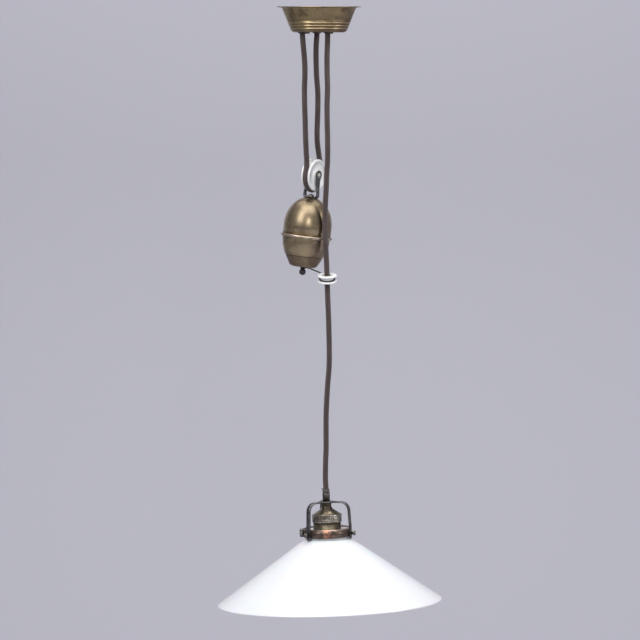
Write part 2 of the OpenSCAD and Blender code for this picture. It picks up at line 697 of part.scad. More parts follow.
module shade_band() {
    r = band_d / 2;
    color(copper_brown) in_lamp() difference() {
        union() {
            difference() {
                cylinder(r = r, h = band_h);
                translate([0, 0, -1]) cylinder(r = r - band_t, h = band_h + 2);
                translate([-r - 2, -slit / 2 - band_t, -1]) cube([6, slit + 2 * band_t, band_h + 2]);
            }
            for (s = [-1, 1]) translate([-r - ear + 1, s * (slit / 2 + band_t / 2), 0])
                rotate([90, 0, 0]) linear_extrude(band_t, center = true) {
                    translate([0, 2]) square([ear + 0.4, band_h - 4]);
                    translate([2, 0]) square([ear - 1.6, band_h]);
                    for (z = [2, band_h - 2]) translate([2, z]) circle(r = 2, $fn = 32);
                }
        }
        translate([-ear_hole, 0, band_h / 2]) rotate([90, 0, 0])
            cylinder(r = 1.6, h = 20, center = true);
        each_arm() translate([20, 0, screw_z]) rotate([0, 90, 0]) cylinder(r = screw_r + 0.3, h = 30);
    }
}
module band_screw() {
    color(steel) in_lamp() translate([-ear_hole, -ear_face, band_h / 2]) rotate([90, 0, 0])
        screw(5.6, 2.2, 3, 9);
}
module band_nut() {
    color(steel) in_lamp() translate([-ear_hole, ear_face, band_h / 2]) rotate([-90, 0, 0])
        difference() {
            cylinder(r = 2.9, h = 2.2, $fn = 6);
            translate([0, 0, -1]) cylinder(r = 1.5, h = 6);
        }
}
module shade_screw(i) {
    tip = neck_d / 2 + 0.3;
    proud = 3.6;
    head = arm_out + arm_t + proud;
    color(steel) in_lamp() arm_turn(i) translate([head, 0, screw_z]) rotate([0, 90, 0])
        screw(7.4, 2.8, 2 * screw_r, head - tip);
}
module shade_screw_1() { shade_screw(0); }
module shade_screw_2() { shade_screw(1); }
module shade_screw_3() { shade_screw(2); }

// Straight cone with a rounded shoulder, a short neck inside the band and a rounded rim
module glass_shade() {
    neck_r = neck_d / 2;
    neck_top = band_h - 2;
    shoulder_r = 4.2;
    shoulder_c = [neck_r + 0.2, -3.8 - shoulder_r];
    run = shade_d / 2 - neck_r - 2.6;
    slope = atan(shade_h / run);
    facing = [sin(slope), cos(slope)];
    start = shoulder_c + shoulder_r * facing;
    rim = start + run * [1, -tan(slope)] - glass_t * [facing[1], -facing[0]] / 2;
    inner_corner = start - glass_t * facing;
    inner_neck = neck_r - glass_t;
    inner_z = inner_corner[1] + (inner_corner[0] - inner_neck) * tan(slope);
    lip_r = band_d / 2 - band_t - 0.05;
    lip_low = screw_z + screw_r + 0.4;
    color(opal) in_lamp() rotate_extrude($fn = 180) {
        polygon(reverse(concat(
            [[inner_neck, neck_top]],
            arc([lip_r - 1, neck_top - 1], 1, 90, 0, 3),
            [[lip_r, lip_low + 0.6], [neck_r, lip_low], [neck_r, shoulder_c[1] + shoulder_r]],
            arc(shoulder_c, shoulder_r, 84, 90 - slope, 6),
            [rim, rim - glass_t * facing],
            [[inner_neck + 2, inner_z - 2 * tan(slope)], [inner_neck, inner_z + 1.5]])));
        translate(rim - glass_t / 2 * facing) circle(d = glass_t, $fn = 32);
    }
}

ceiling_rose();
cord_bushes();
ceiling_bar();
wheel_bracket();
rose_wheel_axle();
rose_wheel();
rose_screws();
cord_stop();
stop_screw();
terminal_block();
terminal_screws();
rose_leads();
cord_fixed_run();
cord_return_run();
cord_lamp_run();
cord_weight_loop();
cord_rose_loop();
weight_upper_shell();
weight_lower_shell();
weight_band();
weight_core();
weight_rod();
rod_nut();
weight_ball();
stirrup();
weight_wheel_axle();
weight_wheel();
guide_wire();
guide_eye();
cord_binding();
cord_grip();
nipple();
nipple_nut();
holder_cap();
cap_grub_screw();
holder_collar();
holder_shell();
holder_insert();
screw_shell();
centre_contact();
holder_terminals();
holder_leads();
shade_carrier();
shade_band();
band_screw();
band_nut();
shade_screw_1();
shade_screw_2();
shade_screw_3();
glass_shade();
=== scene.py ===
# %% [markdown]
# A rise and fall pendant hangs from one textile-covered cord. The cord starts in the ceiling rose,
# runs under the wheel of an egg-shaped counterweight, back up over a wheel in the rose, and down to
# the lamp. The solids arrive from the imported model, already in place and in metres. This lesson
# gives them their finishes, and makes again the soft and thin pieces that need finer forms.

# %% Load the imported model
import math

import bmesh
import bpy
from mathutils import Matrix, Vector


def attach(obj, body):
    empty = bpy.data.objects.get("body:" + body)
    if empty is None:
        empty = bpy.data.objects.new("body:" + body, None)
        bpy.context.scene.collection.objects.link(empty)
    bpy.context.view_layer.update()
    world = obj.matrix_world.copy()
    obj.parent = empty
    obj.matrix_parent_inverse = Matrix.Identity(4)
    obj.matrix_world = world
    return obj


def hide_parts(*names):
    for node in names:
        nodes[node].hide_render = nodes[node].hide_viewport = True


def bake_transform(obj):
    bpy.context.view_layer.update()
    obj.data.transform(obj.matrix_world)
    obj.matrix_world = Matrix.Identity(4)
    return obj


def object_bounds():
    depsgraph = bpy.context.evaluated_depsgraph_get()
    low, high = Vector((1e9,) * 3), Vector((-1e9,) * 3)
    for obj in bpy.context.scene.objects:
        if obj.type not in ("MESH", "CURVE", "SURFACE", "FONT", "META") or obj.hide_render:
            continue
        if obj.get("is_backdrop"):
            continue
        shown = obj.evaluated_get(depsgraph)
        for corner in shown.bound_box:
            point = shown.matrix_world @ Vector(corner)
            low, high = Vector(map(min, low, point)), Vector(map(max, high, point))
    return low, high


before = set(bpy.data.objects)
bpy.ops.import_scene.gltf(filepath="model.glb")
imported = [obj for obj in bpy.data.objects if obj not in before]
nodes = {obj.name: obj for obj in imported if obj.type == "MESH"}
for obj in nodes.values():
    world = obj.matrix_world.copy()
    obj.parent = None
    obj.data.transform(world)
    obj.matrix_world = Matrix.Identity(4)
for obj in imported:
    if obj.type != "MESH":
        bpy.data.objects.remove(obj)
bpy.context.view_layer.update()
MM = 0.001
print("solids loaded:", len(nodes))

# %% [markdown]
# The photograph was taken from level with the rose, far back with a long lens. A camera seven
# metres away that looks slightly down gives the same picture: flat rose, round shade rim. No lens
# shift is used, so that the same camera can walk round the lamp and keep it in view.

# %% Camera
VIEW_WIDTH, SENSOR, FAR_LIMIT = 0.9958, 36, 60
aim = Vector((0.0016, 0, -0.4866))
stand = Vector((0.0016, -7.0, -0.03))
camera = bpy.data.objects.new("camera", bpy.data.cameras.new("camera"))
bpy.context.scene.collection.objects.link(camera)
camera.location = stand
camera.rotation_euler = (aim - stand).to_track_quat("-Z", "Y").to_euler()
camera.data.sensor_width = SENSOR
camera.data.lens = SENSOR * (aim - stand).length / VIEW_WIDTH
camera.data.clip_end = FAR_LIMIT
bpy.context.scene.camera = camera
print("lens, mm:", round(camera.data.lens, 1))

# %% [markdown]
# A studio sweep is one sheet that runs under the object and curves up behind it, so no line
# shows where floor meets wall. The lamp hangs well above it, as it would above a table. Seen from
# its own back the sheet is clear, so a camera that walks behind it or under it sees the lamp.

# %% Floor and backdrop in one sweep
PAPER, PAPER_ROUGHNESS = (0.435, 0.43, 0.478), 0.8
FLOOR_Z, FLOOR_FRONT, WALL_Y, WALL_TOP = -1.5, -9.0, 2.6, 6.0
BEND, BEND_STEPS, HALF_WIDTH = 1.2, 16, 9.0


def pale_paper():
    made = bpy.data.materials.new("pale_paper")
    made.use_nodes = True
    tree = made.node_tree
    shader = tree.nodes["Principled BSDF"]
    shader.inputs["Base Color"].default_value = (*PAPER, 1)
    shader.inputs["Roughness"].default_value = PAPER_ROUGHNESS
    side = tree.nodes.new("ShaderNodeNewGeometry")
    clear = tree.nodes.new("ShaderNodeBsdfTransparent")
    choose = tree.nodes.new("ShaderNodeMixShader")
    tree.links.new(side.outputs["Backfacing"], choose.inputs["Fac"])
    tree.links.new(shader.outputs["BSDF"], choose.inputs[1])
    tree.links.new(clear.outputs["BSDF"], choose.inputs[2])
    tree.links.new(choose.outputs["Shader"], tree.nodes["Material Output"].inputs["Surface"])
    return made


def new_object(name, mesh):
    made = bpy.data.objects.new(name, mesh)
    bpy.context.scene.collection.objects.link(made)
    return made


def studio_sweep():
    line = [(FLOOR_FRONT, FLOOR_Z), (WALL_Y - BEND, FLOOR_Z)]
    line += [(WALL_Y - BEND + BEND * math.sin(a), FLOOR_Z + BEND - BEND * math.cos(a))
             for a in [math.pi / 2 * i / BEND_STEPS for i in range(1, BEND_STEPS + 1)]]
    line.append((WALL_Y, WALL_TOP))
    mesh = bpy.data.meshes.new("studio_sweep")
    points = [(x, y, z) for y, z in line for x in (-HALF_WIDTH, HALF_WIDTH)]
    faces = [(2 * i, 2 * i + 1, 2 * i + 3, 2 * i + 2) for i in range(len(line) - 1)]
    mesh.from_pydata(points, [], faces)
    mesh.shade_smooth()
    mesh.materials.append(pale_paper())
    return new_object("studio_sweep", mesh)


sweep_sheet = studio_sweep()
sweep_sheet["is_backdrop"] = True
print("faces in the sweep:", len(sweep_sheet.data.polygons))

# %% [markdown]
# Old brass shows its form by what it mirrors: a tall soft light to the left gives the warm streak
# on the counterweight, and the darker room to the right gives the dark band beside it. The world
# gives the even light that keeps the undersides readable.

# %% Lights
def softbox(name, place, target, width, height, watts):
    """A rectangular light at a place, turned to face a target, all in metres."""
    lamp = bpy.data.lights.new(name, "AREA")
    lamp.shape, lamp.size, lamp.size_y = "RECTANGLE", width, height
    lamp.energy = watts
    made = new_object(name, lamp)
    made.location = place
    made.rotation_euler = (Vector(target) - Vector(place)).to_track_quat("-Z", "Y").to_euler()


softbox("window_left", (-2.0, -2.3, 1.4), (0, 0, -0.4), 1.4, 2.0, 42)
softbox("fill_right", (2.9, -0.9, 0.2), (0, 0, -0.5), 0.9, 2.6, 28)
softbox("front", (0.2, -3.6, 0.6), (0, 0, -0.3), 0.5, 0.5, 24)
softbox("top_sheet", (0.0, -1.0, 2.2), (0, 0, -0.6), 3.0, 2.2, 64)
softbox("wall_wash", (0.0, 0.9, 1.9), (0, 2.6, -0.6), 3.2, 1.0, 30)

AIR_COLOUR, AIR_STRENGTH = (0.93, 0.95, 1.0, 1), 0.36
world = bpy.data.worlds.new("studio_air")
bpy.context.scene.world = world
world.use_nodes = True
world.node_tree.nodes["Background"].inputs["Color"].default_value = AIR_COLOUR
world.node_tree.nodes["Background"].inputs["Strength"].default_value = AIR_STRENGTH
bpy.context.scene.view_settings.view_transform = "Standard"
print("lights:", len(bpy.data.lights))

# %% [markdown]
# The solids know two leaning frames: the counterweight hangs 6.5 degrees off plumb on its cords,
# and the lamp 2 degrees the other way. These helpers turn a place on either into a place in the
# room, in the same millimetres as the source of the solids. The counterweight's frame starts at
# the axle of its wheel, and the wheel and its bow are turned in it. The lamp's starts at the
# mouth of the grip, where the cord goes in.

# %% Places on the counterweight and on the lamp
WEIGHT_AT, WEIGHT_LEAN, WEIGHT_TURN = Vector((-8.5, 7, -261)), 6.5, 58.5
LAMP_AT, LAMP_LEAN, MOUTH_Z = Vector((11, -27.2, -753.5)), 2, 67.9
weight_lean = Matrix.Rotation(math.radians(WEIGHT_LEAN), 3, "Y")
weight_turn = Matrix.Rotation(math.radians(WEIGHT_TURN), 3, "Z")
lamp_lean = Matrix.Rotation(math.radians(-LAMP_LEAN), 3, "Y")


def on_weight(x, y, z):
    return WEIGHT_AT + weight_lean @ Vector((x, y, z))


def in_bow(x, y, z):
    return WEIGHT_AT + weight_lean @ weight_turn @ Vector((x, y, z))


def on_lamp(x, y, z):
    return LAMP_AT + lamp_lean @ Vector((x, y, z - MOUTH_Z))


# %% [markdown]
# A cord is a round section carried along a line. Blender's curves can do that, but a cord that
# stretches between two moving bodies has to be a mesh, and its weave needs to know how far along
# the cord each point is. So this helper smooths a listed route, carries a ring along it without
# twist, and stores turn and length as a UV map.

# %% Smooth a route
def smooth_route(points, step):
    """Passes a soft curve through the points, with a new point about every step."""
    ends = [2 * points[0] - points[1]] + list(points) + [2 * points[-1] - points[-2]]
    made = []
    for a, b, c, d in zip(ends, ends[1:], ends[2:], ends[3:]):
        count = max(1, round((c - b).length / step))
        for i in range(count):
            t = i / count
            made.append(0.5 * (2 * b + (c - a) * t + (2 * a - 5 * b + 4 * c - d) * t ** 2
                               + (3 * b - a - 3 * c + d) * t ** 3))
    return made + [points[-1]]


# %% Sweep a ring along a line
def sweep(name, line, radius, sides=16):
    """A closed tube along a line in millimetres, with UV = (turn, metres along)."""
    mesh = bpy.data.meshes.new(name)
    build = bmesh.new()
    uv = build.loops.layers.uv.new("cord")
    across = None
    rings, along, run = [], [], 0.0
    for i, point in enumerate(line):
        way = (line[min(i + 1, len(line) - 1)] - line[max(i - 1, 0)]).normalized()
        across = way.orthogonal() if across is None else across - way * across.dot(way)
        across.normalize()
        other = way.cross(across)
        run += (point - line[i - 1]).length if i else 0.0
        along.append(run * MM)
        rings.append([build.verts.new(MM * (point + radius * (
            math.cos(2 * math.pi * k / sides) * across
            + math.sin(2 * math.pi * k / sides) * other))) for k in range(sides)])
    for i in range(len(rings) - 1):
        for k in range(sides):
            n = (k + 1) % sides
            face = build.faces.new((rings[i][k], rings[i][n], rings[i + 1][n], rings[i + 1][k]))
            face.smooth = True
            turns = (k / sides, (k + 1) / sides, (k + 1) / sides, k / sides)
            for loop, turn, length in zip(face.loops, turns, (i, i, i + 1, i + 1)):
                loop[uv].uv = (turn, along[length])
    build.faces.new(list(reversed(rings[0])))
    build.faces.new(rings[-1])
    build.to_mesh(mesh)
    build.free()
    print(name, "length, mm:", round(run))
    return new_object(name, mesh)


# %% [markdown]
# The cord is one length, but two bodies pull on it. The first piece runs down from the rose, under
# the counterweight's wheel and up again, and bends between the rose and the counterweight. It stays
# in the groove 30 degrees longer than its solid does, so that it rises as it does in the photo. The
# routes of the falls are those of the solids, with the same slow waves that old flex keeps.

# %% Two falls between the rose and the counterweight
CORD_D, PLAY, CORD_STEP = 8.4, 0.3, 2
WHEEL_R, GROOVE, ROSE_WHEEL_Z = 25, 5.9, -22.3
WEIGHT_PITCH = WHEEL_R - GROOVE + PLAY + CORD_D / 2
WRAP, WRAP_STEPS = 30, 30
RETURN, DOWN = Vector((-3, 4.6, 0)), Vector((13.5, -18, 0))
route_fixed = [Vector(p) for p in (
    (-25.9, -11, -22), (-25.9, -11, -31), (-25.7, -11, -41), (-24.8, -11.2, -55),
    (-23.4, -11.4, -70), (-22.1, -11.6, -88), (-21.8, -11.8, -107), (-22.5, -12, -126),
    (-22.2, -12.2, -150), (-21.4, -12.4, -175), (-20.8, -12.6, -200), (-19.7, -12.9, -226))]
route_fixed += [in_bow(-WEIGHT_PITCH, 0, z) for z in (17, 0)]


def on_wheel(angle, off=0):
    """A place in the wheel's groove, or off mm away from it along the cord that leaves it."""
    a = math.radians(angle)
    return in_bow(WEIGHT_PITCH * math.cos(a) - off * math.sin(a), 0,
                  WEIGHT_PITCH * math.sin(a) + off * math.cos(a))


route_return = [Vector(p) for p in (
    (-3, 4.6, ROSE_WHEEL_Z), (-3, 4.6, -32), (-3.1, 4.7, -42), (-4.4, 4.9, -62),
    (-4.5, 5.2, -81), (-3.8, 5.5, -106), (-1.9, 5.8, -131), (-1.7, 6.1, -150),
    (-2.1, 6.6, -170), (-2.8, 7.6, -190), (-2.6, 9.5, -210))]
route_return += [on_wheel(WRAP, off) for off in (20, 10, 0)]

# %% Cord round the counterweight
under_wheel = [on_wheel(180 + (180 + WRAP) * i / WRAP_STEPS) for i in range(1, WRAP_STEPS)]
weight_line = (smooth_route(route_fixed, CORD_STEP) + under_wheel
               + list(reversed(smooth_route(route_return, CORD_STEP))))
weight_cord = sweep("weight_cord", weight_line, CORD_D / 2)
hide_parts("cord_fixed_run", "cord_weight_loop", "cord_return_run")
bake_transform(weight_cord)

# %% [markdown]
# The second piece of cord goes over the wheel in the rose and down to the grip. It passes in front
# of the counterweight, through its porcelain eye, and bends between the rose and the lamp.

# %% Cord over the rose wheel and down to the lamp
OVER_STEPS, IN_GRIP = 24, 8
route_lamp = [Vector(p) for p in (
    (13.5, -18, ROSE_WHEEL_Z), (13.5, -18, -32), (13.5, -18.1, -42), (13.1, -19.2, -58),
    (12.4, -21.2, -79), (12.6, -24, -103), (13.2, -26.4, -126), (12.5, -27.2, -152),
    (12.7, -27.2, -180), (13.4, -27.2, -208), (13.3, -27.2, -236), (12, -27.2, -258),
    (11.2, -27.2, -280), (9.9, -27.2, -305), (9.2, -27.2, -332), (10, -27.2, -362),
    (11.5, -27.2, -392), (12.6, -27.2, -418), (13.3, -27.2, -444), (14.4, -27.2, -470),
    (15.3, -27.2, -498), (16, -27.2, -530), (15.7, -27.2, -557), (13.9, -27.2, -580),
    (12.3, -27.2, -604), (11.2, -27.2, -630), (11, -27.2, -658), (11.1, -27.2, -684),
    (10.3, -27.2, -706), (10, -27.2, -728), (10.6, -27.2, -743))]
route_lamp += [on_lamp(0, 0, MOUTH_Z), on_lamp(0, 0, MOUTH_Z - IN_GRIP)]
rose_mid = (DOWN + RETURN) / 2 + Vector((0, 0, ROSE_WHEEL_Z))
rose_way = (DOWN - RETURN).normalized()
rose_pitch = (DOWN - RETURN).length / 2
over_wheel = []
for i in range(1, OVER_STEPS):
    a = math.pi * i / OVER_STEPS
    over_wheel.append(rose_mid + rose_way * (-rose_pitch * math.cos(a))
                      + Vector((0, 0, rose_pitch * math.sin(a))))
lamp_line = [route_return[0]] + over_wheel + smooth_route(route_lamp, CORD_STEP)
lamp_cord = sweep("lamp_cord", lamp_line, CORD_D / 2)
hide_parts("cord_lamp_run", "cord_rose_loop")
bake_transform(lamp_cord)

# %% [markdown]
# The counterweight's porcelain eye is tied to it with one iron wire: three quarters of a turn round
# the rod above the black ball, then nearly once round the groove of the eye, which nods 12 degrees
# to the front. The solids carry it with few sides. Here the route becomes a round, smooth wire.

# %% Wire of the guide eye
BODY_TOP, BODY_H, ROD_R, WIRE_D, WIRE_STEP = 36.5, 108, 2.5, 2.0, 0.8
EYE_AT, EYE_GROOVE, EYE_NOD, WIRE_DIP = Vector((12.6, -27.2, -420.4)), 10.8, 12, 1.75
ROD_TURN, ROD_COUNT, EYE_TURN, EYE_COUNT = 30, 10, 16, 22
rod_end = on_weight(0, 0, -BODY_TOP - BODY_H - 0.55)
bearing = math.atan2(EYE_AT.y - rod_end.y, EYE_AT.x - rod_end.x)
eye_nod = Matrix.Rotation(math.radians(EYE_NOD), 3, "X")


def on_eye(x, y, z):
    return EYE_AT + eye_nod @ Vector((x, y, z))


def rod_turn(i):
    a = bearing + math.radians(90 + ROD_TURN * (ROD_COUNT - 1 - i))
    r = ROD_R + WIRE_D / 2 + 0.1
    return rod_end + weight_lean @ Vector((r * math.cos(a), r * math.sin(a), 0))


def eye_turn(i):
    a = bearing + math.radians(90 - EYE_TURN * i)
    r = EYE_GROOVE + WIRE_D / 2 + 0.15
    return on_eye(r * math.cos(a), r * math.sin(a), WIRE_DIP * math.sin(a))


off_rod = [rod_turn(ROD_COUNT - 1) + weight_lean @ Vector((
    run * math.cos(bearing), run * math.sin(bearing), 0)) for run in (5, 11)]
toward = Vector((math.cos(bearing), math.sin(bearing), -0.06))
wire_line = ([rod_turn(i) for i in range(ROD_COUNT)] + off_rod
             + [eye_turn(0) - toward * 10] + [eye_turn(i) for i in range(EYE_COUNT)])
eye_wire = sweep("eye_wire", smooth_route(wire_line, WIRE_STEP), WIRE_D / 2, sides=12)
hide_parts("guide_wire")
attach(eye_wire, "counterweight")

# %% [markdown]
# Above the grip the cord is bound with three and a half turns of waxed twine whose end sticks out
# at the side. A helix makes it, and the loose end bends away from the cord.

# %% Binding above the grip
TWINE, TWINE_CLIMB, TWINE_TURNS, PER_TURN = 1.4, 1.5, 3.5, 12
twine_r = CORD_D / 2 + TWINE / 2 + 0.15
twine_z = MOUTH_Z + TWINE / 2
binding_line = []
for i in range(int(TWINE_TURNS * PER_TURN) + 1):
    a = math.radians(360 / PER_TURN * i)
    binding_line.append(on_lamp(twine_r * math.cos(a), twine_r * math.sin(a),
                                twine_z + TWINE_CLIMB * i / PER_TURN))
binding_line += [on_lamp(-twine_r - 0.6, -2, twine_z + 5.65),
                 on_lamp(-twine_r - 1.6, -3.6, twine_z + 6.25)]
binding = sweep("twine_binding", smooth_route(binding_line, 0.8), TWINE / 2, sides=10)
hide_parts("cord_binding")
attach(binding, "lamp")

# %% [markdown]
# Where the cord's cover ends, its two rubber-covered leads go on alone, into the porcelain
# connector in the rose and to the terminals in the lampholder. They follow the solids' routes.

# %% Leads in the rose and in the lampholder
BAR_TURN, ROSE_LEAD_R, HOLDER_LEAD_R, LEAD_STEP = 50, 1.3, 1.2, 1
BLOCK_FACE = Vector((-21.5, 3.5, -9))
bar_turn = Matrix.Rotation(math.radians(BAR_TURN), 3, "Z")
lead_top = bar_turn.inverted() @ route_fixed[0]
leads = []
for side, side_name in ((-1, "left"), (1, "right")):
    port = BLOCK_FACE + Vector((4 * side, 0, 0))
    line = [lead_top + Vector((1.6 * side, 0, 0.05)), lead_top + Vector((1.6 * side, 0, 4)),
            lead_top + Vector((0.8 + 2.6 * side, 0, 9)),
            lead_top + Vector((3 + 3.4 * side, -1.8, 13)),
            port + Vector((0, 4, 0.4)), port, port - Vector((0, 4, 0))]
    line = smooth_route([bar_turn @ p for p in line], LEAD_STEP)
    rose_lead = sweep("rose_lead_" + side_name, line, ROSE_LEAD_R, sides=12)
    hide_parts("rose_leads")
    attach(rose_lead, "ceiling_fitting")
    line = [on_lamp(*p) for p in (
        (1.7 * side, 0, MOUTH_Z - 8.1), (1.7 * side, 0, 54), (1.7 * side, 0, 42),
        (3.4 * side, 3, 38.6), (8.4 * side, 7, 35), (11 * side, 6.6, 31.6),
        (11 * side, 3.05, 31.4))]
    line = smooth_route(line, LEAD_STEP)
    holder_lead = sweep("holder_lead_" + side_name, line, HOLDER_LEAD_R, sides=12)
    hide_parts("holder_leads")
    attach(holder_lead, "lamp")
    leads += [rose_lead, holder_lead]

# %% [markdown]
# Some turned or pressed pieces show a finer outline in the photograph than their solids have: the
# counterweight's lower shell, its porcelain eye, and the lampholder's cap, nut and collar. A lathe
# would cut them, so here a profile, a list of radius and height, is carried round its axis. The
# Screw modifier can do that too, but a helper in code can also cut beads into the turned form.

# %% Lathe a profile
def profile_arc(middle, radius, start, stop, steps=8):
    return [(middle[0] + radius * math.cos(math.radians(start + (stop - start) * i / steps)),
             middle[1] + radius * math.sin(math.radians(start + (stop - start) * i / steps)))
            for i in range(steps + 1)]


def lathe(name, profile, place, sides=96, sharp=35, cut=lambda r, z, a: 0):
    """A closed ring of revolution. The profile is (radius, height), place gives the frame, and
    cut says how far a point at angle a is drawn in."""
    build = bmesh.new()
    rings = []
    for k in range(sides):
        a = math.tau * k / sides
        rings.append([build.verts.new(MM * place((r - cut(r, z, a)) * math.cos(a),
                                                 (r - cut(r, z, a)) * math.sin(a), z))
                      for r, z in profile])
    for k in range(sides):
        here, there = rings[k], rings[(k + 1) % sides]
        for i in range(len(profile)):
            build.faces.new((here[i - 1], here[i], there[i], there[i - 1]))
    bmesh.ops.recalc_face_normals(build, faces=build.faces)
    mesh = bpy.data.meshes.new(name)
    build.to_mesh(mesh)
    build.free()
    mesh.shade_smooth()
    mesh.set_sharp_from_angle(angle=math.radians(sharp))
    print(name, "faces:", len(mesh.polygons))
    return new_object(name, mesh)


# %% [markdown]
# The lower half of the counterweight is a spun brass shell. It follows the egg down to a small
# step, and goes on below it as a cup that closes round the rod. Heights are counted down from the
# top of the egg, so that the numbers can be read off the photograph.

# %% Lower shell of the counterweight
SHELL_T, SHELL_R, SHELL_FROM, EGG_STEP, CUP_STEP = 1.1, 37, 59.85, 2.79, 2.26
STEP_AT, STEP_R, LOWER_MID, LOWER_REACH = 90, 28.3, 62, 48
CUP_R, CUP_SLOPE, CUP_CURVE, FOOT_R, FOOT_AT = 29.4, 0.42, 0.0085, 8.3, 15.6


def lower_r(h):
    """Radius of the shell at h below the top of the egg."""
    if h < STEP_AT:
        return SHELL_R * math.sqrt(1 - ((h - LOWER_MID) / LOWER_REACH) ** 2)
    return CUP_R - CUP_SLOPE * (h - STEP_AT) - CUP_CURVE * (h - STEP_AT) ** 2


shell_floor = -BODY_TOP - BODY_H + 0.5
outside = [(SHELL_R, -BODY_TOP - SHELL_FROM)]
outside += [(lower_r(h), -BODY_TOP - h) for h in [LOWER_MID + EGG_STEP * i for i in range(11)]]
outside += [(STEP_R, -BODY_TOP - STEP_AT - 0.3), (STEP_R, -BODY_TOP - STEP_AT - 0.9)]
outside += [(lower_r(h), -BODY_TOP - h) for h in [STEP_AT + 1.2 + CUP_STEP * i for i in range(6)]]
outside += profile_arc((FOOT_AT, shell_floor + FOOT_R), FOOT_R, -33, -90)
inside = [(r - SHELL_T, max(z, shell_floor + SHELL_T)) for r, z in reversed(outside)]
rod_hole = [(ROD_R, shell_floor), (ROD_R, shell_floor + SHELL_T)]
lower_shell = lathe("lower_shell", outside + rod_hole + inside, on_weight, 128)
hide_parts("weight_lower_shell")
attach(lower_shell, "counterweight")

# %% [markdown]
# The eye is a short porcelain bobbin with a hole for the cord. Its two lips are as thick as a
# finger ring and fully round, because the cord slides over them, and the wire lies between them.

# %% Porcelain eye
LIP, EYE_R, EYE_BORE, LIP_Z, BORE_STEPS = 1.6, 15.2, 7.4, 4.4, 5
eye = lathe("porcelain_eye", profile_arc((EYE_R - LIP, LIP_Z), LIP, 90, -90)
            + [(EYE_GROOVE, LIP_Z - LIP), (EYE_GROOVE, LIP - LIP_Z)]
            + profile_arc((EYE_R - LIP, -LIP_Z), LIP, 90, -90)
            + profile_arc((EYE_BORE + LIP, -LIP_Z), LIP, -90, -180, BORE_STEPS)
            + profile_arc((EYE_BORE + LIP, LIP_Z), LIP, 180, 90, BORE_STEPS), on_eye)
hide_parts("guide_eye")
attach(eye, "counterweight")

# %% [markdown]
# The lampholder's cap is pressed into a bell. A grub screw in its neck keeps it from turning, and
# a nut holds it to the nipple. A boolean cuts the screw's hole, as a drill would, and its result is
# kept as the mesh, so that no cutter stays behind.

# %% Bell of the lampholder, its screw and its nut
HUB_Z, NIPPLE_R, CAP_T, CAP_LOW, AXIS = 52, 5, 1, 28.8, 0.001
GRUB_Z, GRUB_R, GRUB_HOLE_R, GRUB_END = 45.9, 1.4, 1.5, 8.5
NUT_R, NUT_LOW, NUT_TOP = 6.4, 47.8, 51
cap_side = [(7.6, HUB_Z), (7.6, 46.2), (8, 44.8), (9.2, 43.2), (11.2, 41.7), (13.5, 40.2),
            (15.8, 38.6), (17.9, 37.1), (19.6, 35.9), (20.7, 35), (21.3, 34), (21.3, CAP_LOW)]
cap_in = [(r - CAP_T, z - CAP_T * (CAP_LOW < z)) for r, z in reversed(cap_side)]
bell = lathe("holder_bell", [(NIPPLE_R + 0.1, HUB_Z)] + cap_side + cap_in
             + [(NIPPLE_R + 0.1, HUB_Z - CAP_T)], on_lamp)


def forward(x, y, z):
    """A frame whose axis points out of the lamp's neck, towards the front, at the grub screw."""
    return on_lamp(x, -z, GRUB_Z + y)


cutter = lathe("grub_hole", [(AXIS, 5.5), (GRUB_HOLE_R, 5.5), (GRUB_HOLE_R, 12), (AXIS, 12)],
               forward, 32)
bore = bell.modifiers.new("grub_hole", "BOOLEAN")
bore.object = cutter
bore.solver = "EXACT"
bpy.context.view_layer.update()
bored = bpy.data.meshes.new_from_object(bell.evaluated_get(bpy.context.evaluated_depsgraph_get()))
bell.modifiers.clear()
bell.data = bored
bpy.data.objects.remove(cutter)
grub = lathe("grub_screw", [(AXIS, 5.1), (GRUB_R, 5.1), (GRUB_R, 8.2), (1, GRUB_END),
                            (AXIS, GRUB_END)], forward, 32)
nut = lathe("neck_nut", [(NIPPLE_R, NUT_LOW), (NUT_R, NUT_LOW), (NUT_R, NUT_TOP),
                         (NIPPLE_R, NUT_TOP)], on_lamp, 6, 10)

# %% [markdown]
# The collar that clamps shade carrier and holder is gripped by hand, so it has four ribs with
# beads cut across them. The lathe turns the ribs, and its cut draws in the metal between the beads.
# Real beads catch the light from every side, which a bump map would not do at the outline.

# %% Ribbed collar
COLLAR_R, RIB, COLLAR_LOW, COLLAR_TOP, COLLAR_BORE = 23.35, 0.95, 22.2, 34.5, 21.4
RIBS, RIBS_TOP, BEADS, BEAD_DEPTH = (30.6, 28.3, 26, 23.7), 31.5, 48, 0.3
collar_side = [(COLLAR_BORE, COLLAR_TOP), (COLLAR_R - 0.5, COLLAR_TOP),
               (COLLAR_R, COLLAR_TOP - 0.5), (COLLAR_R, 32.3), (COLLAR_R - 0.5, 31.8)]
for z in RIBS:
    collar_side += profile_arc((COLLAR_R - RIB, z), RIB, 75, -75, 6)
collar_side += [(22.4, COLLAR_LOW), (COLLAR_BORE, COLLAR_LOW)]


def knurled(r, z, a):
    """Beads cut across the four ribs, deepest where a rib stands highest."""
    on_rib = z < RIBS_TOP and r > COLLAR_R - RIB
    return BEAD_DEPTH * (r - COLLAR_R + RIB) * (1 - math.cos(BEADS * a)) / 2 if on_rib else 0


collar = lathe("ribbed_collar", collar_side, on_lamp, 288, 50, knurled)
for made, solid, finish_slot in ((bell, "holder_cap", "holder_brass"),
                                 (collar, "holder_collar", "holder_brass"),
                                 (grub, "cap_grub_screw", "steel"), (nut, "nipple_nut", "steel")):
    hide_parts(solid)
    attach(made, "lamp")

# %% [markdown]
# Finishes come next. Effects that several finishes share are node groups: tarnish in clouds, the
# fine turning marks of spun metal, worn rings at chosen heights, and the braid of the cord. Each
# takes the place on the solid as input, so it stays put when a body moves.

